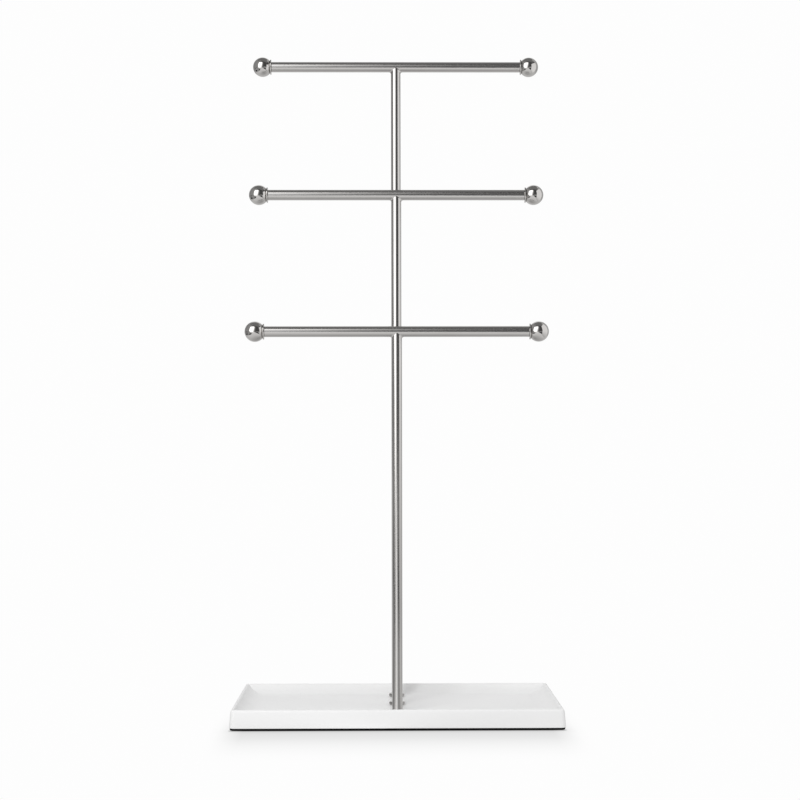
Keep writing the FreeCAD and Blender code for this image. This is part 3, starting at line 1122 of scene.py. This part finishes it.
# %% Window measures
WINDOW_STRENGTH = 2.4
WINDOW_LEFT = (-1.50, -0.70)
WINDOW_RIGHT = (0.24, -1.287)
WINDOW_BOTTOM = 0.12
WINDOW_TOP = 1.80
CURTAIN = ((-0.36, 0.14), (1.0, 0.0))             # places along X, and the light there
CURTAIN_FALL = 2.0                                # power that makes the light fall off softly
CURTAIN_GLOW = 0.15                               # what still comes through it
CURTAIN_DRAPE = ((0.35, 1.20), (0.10, -0.06))     # heights, and how much further in it hangs
LEFT_END = ((-1.25, -1.05), (0.0, 1.0))
LEFT_DRAPE = ((0.20, 0.45), (0.0, 0.30))
SILL = ((0.05, 0.35), (0.60, 1.0))
print("window from", WINDOW_BOTTOM, "to", WINDOW_TOP, "m high")

# %% Window
window_light, tree, strength = glow_material("window_light")
x, y, z = split_place(tree)[1]


def draped_edge(edge_tones, drape):
    """The light across an edge that hangs further in at some heights than at others."""
    return scaled(tree, combined(tree, "ADD", x, scaled(tree, z, *drape)), *edge_tones)


fade = combined(tree, "POWER", draped_edge(CURTAIN, CURTAIN_DRAPE), CURTAIN_FALL)
curtain = combined(tree, "ADD", combined(tree, "MULTIPLY", fade, WINDOW_STRENGTH), CURTAIN_GLOW)
sides = combined(tree, "MULTIPLY", curtain, draped_edge(LEFT_END, LEFT_DRAPE))
tree.links.new(combined(tree, "MULTIPLY", sides, scaled(tree, z, *SILL)), strength)
upright("window", WINDOW_LEFT, WINDOW_RIGHT, WINDOW_BOTTOM, WINDOW_TOP, window_light)
print("window light takes", len(tree.nodes), "nodes")

# %% [markdown]
# ## Tent and lamps
# The tent is the world itself: white to the camera, an even soft glow to matt surfaces,
# and a dark room to reflections. A key lamp in front and to the left throws the soft
# shadows of the poles across the tray. A weak lamp at either side keeps the leaning
# ends of the tray from going dull.

# %% Tent
TENT_GLOW = 0.59
ROOM_GLOW = 0.10

world = bpy.data.worlds.new("room")
bpy.context.scene.world = world
world.use_nodes = True
world.cycles.sampling_method = "NONE"
tree = world.node_tree
path = add_node(tree, "ShaderNodeLightPath")
for_camera = combined(tree, "MULTIPLY", path.outputs["Is Camera Ray"], WHITE)
for_metal = combined(tree, "MULTIPLY", path.outputs["Is Glossy Ray"], ROOM_GLOW)
for_matt = combined(tree, "MULTIPLY", path.outputs["Is Diffuse Ray"], TENT_GLOW)
total = combined(tree, "ADD", combined(tree, "ADD", for_camera, for_metal), for_matt)
tree.links.new(total, tree.nodes["Background"].inputs["Strength"])
tree.nodes["Background"].inputs["Color"].default_value = grey(1.0)
print("tent:", world.name)

# %% Lamps
# (name, azimuth and elevation in degrees, distance and size in metres, watts)
LAMPS = (
    ("key", -22.0, 35.0, 2.6, 1.3, 32.0),
    ("right_fill", 84.0, 20.0, 2.6, 1.3, 6.0),
    ("left_fill", -84.0, 20.0, 2.6, 1.3, 3.0),
)


def soft_lamp(name, azimuth, elevation, distance, size, power):
    """A square lamp that points at the tray and lights matt surfaces only."""
    data = bpy.data.lights.new(name, "AREA")
    data.shape = "SQUARE"
    data.size = size
    data.energy = power
    lamp = bpy.data.objects.new(name, data)
    turn, rise = math.radians(azimuth), math.radians(elevation)
    level = math.cos(rise)
    aim = Vector((math.sin(turn) * level, -math.cos(turn) * level, math.sin(rise)))
    lamp.location = aim * distance
    lamp.rotation_euler = aim.to_track_quat("Z", "Y").to_euler()
    lamp.visible_camera = False
    lamp.visible_glossy = False
    bpy.context.scene.collection.objects.link(lamp)


for lamp in LAMPS:
    soft_lamp(*lamp)
print("lamps:", len(LAMPS))

# %% [markdown]
# ## Camera
# The camera stands level, a little over a metre in front and lower than every bar, so
# the bars are seen slightly from below and the tray from just above its edge. The view
# is shifted up instead of tilting the camera, which keeps the poles parallel.

# %% Camera
SENSOR_WIDTH = 36.0         # millimetres, as is the lens
LENS = 72.49
SHIFT_UP = 0.0583           # share of the view's width
CAMERA_PLACE = (-0.0086, -1.1613, 0.1934)
CAMERA_TURN = (math.radians(90.0), 0.0015, math.radians(-0.544))
NEAREST, FARTHEST = 0.01, 50.0

camera_data = bpy.data.cameras.new("camera")
camera_data.sensor_width = SENSOR_WIDTH
camera_data.lens = LENS
camera_data.shift_y = SHIFT_UP
camera_data.clip_start = NEAREST
camera_data.clip_end = FARTHEST
camera = bpy.data.objects.new("camera", camera_data)
camera.location = CAMERA_PLACE
camera.rotation_euler = CAMERA_TURN
bpy.context.scene.collection.objects.link(camera)
bpy.context.scene.camera = camera
bpy.context.scene.view_settings.view_transform = "Standard"
print("camera:", LENS, "mm lens", round(-CAMERA_PLACE[1], 2), "m in front")
